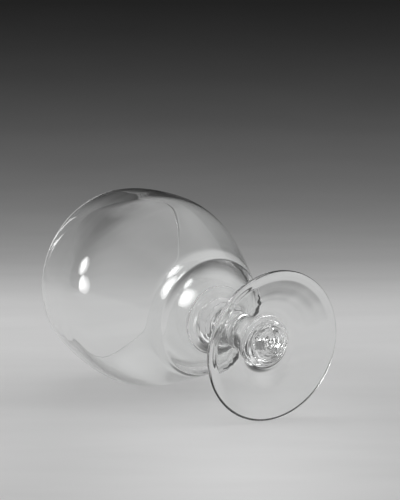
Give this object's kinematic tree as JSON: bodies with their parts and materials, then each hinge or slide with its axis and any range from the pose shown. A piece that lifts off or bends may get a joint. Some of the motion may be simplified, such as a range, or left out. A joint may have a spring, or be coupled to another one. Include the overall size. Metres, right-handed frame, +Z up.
{
  "type": "rummer drinking glass",
  "caption": "Clear glass rummer with a large barrel-shaped bowl turning in at the mouth, flat collar, short waisted stem and plain round foot with a rough pontil scar.",
  "frame": {"origin": "centre of the foot's resting ring, on the surface that the glass stands on", "axes": "+Z up along the turned axis, from the foot to the rim; X and Y are interchangeable"},
  "size_m": [0.099, 0.099, 0.142],
  "materials": {
    "bowl_glass": "clear blown glass, fire-polished",
    "collar_glass": "clear tooled glass, fire-polished",
    "stem_glass": "clear drawn glass, fire-polished",
    "foot_glass": "clear glass pressed out hot, with faint tool rings and shelf wear underneath",
    "broken_glass": "rough snapped glass"
  },
  "bodies": {
    "root": {"bowl": "bowl_glass", "collar": "collar_glass", "stem": "stem_glass", "foot": "foot_glass", "pontil_scar": "broken_glass"}
  },
  "joints": []
}
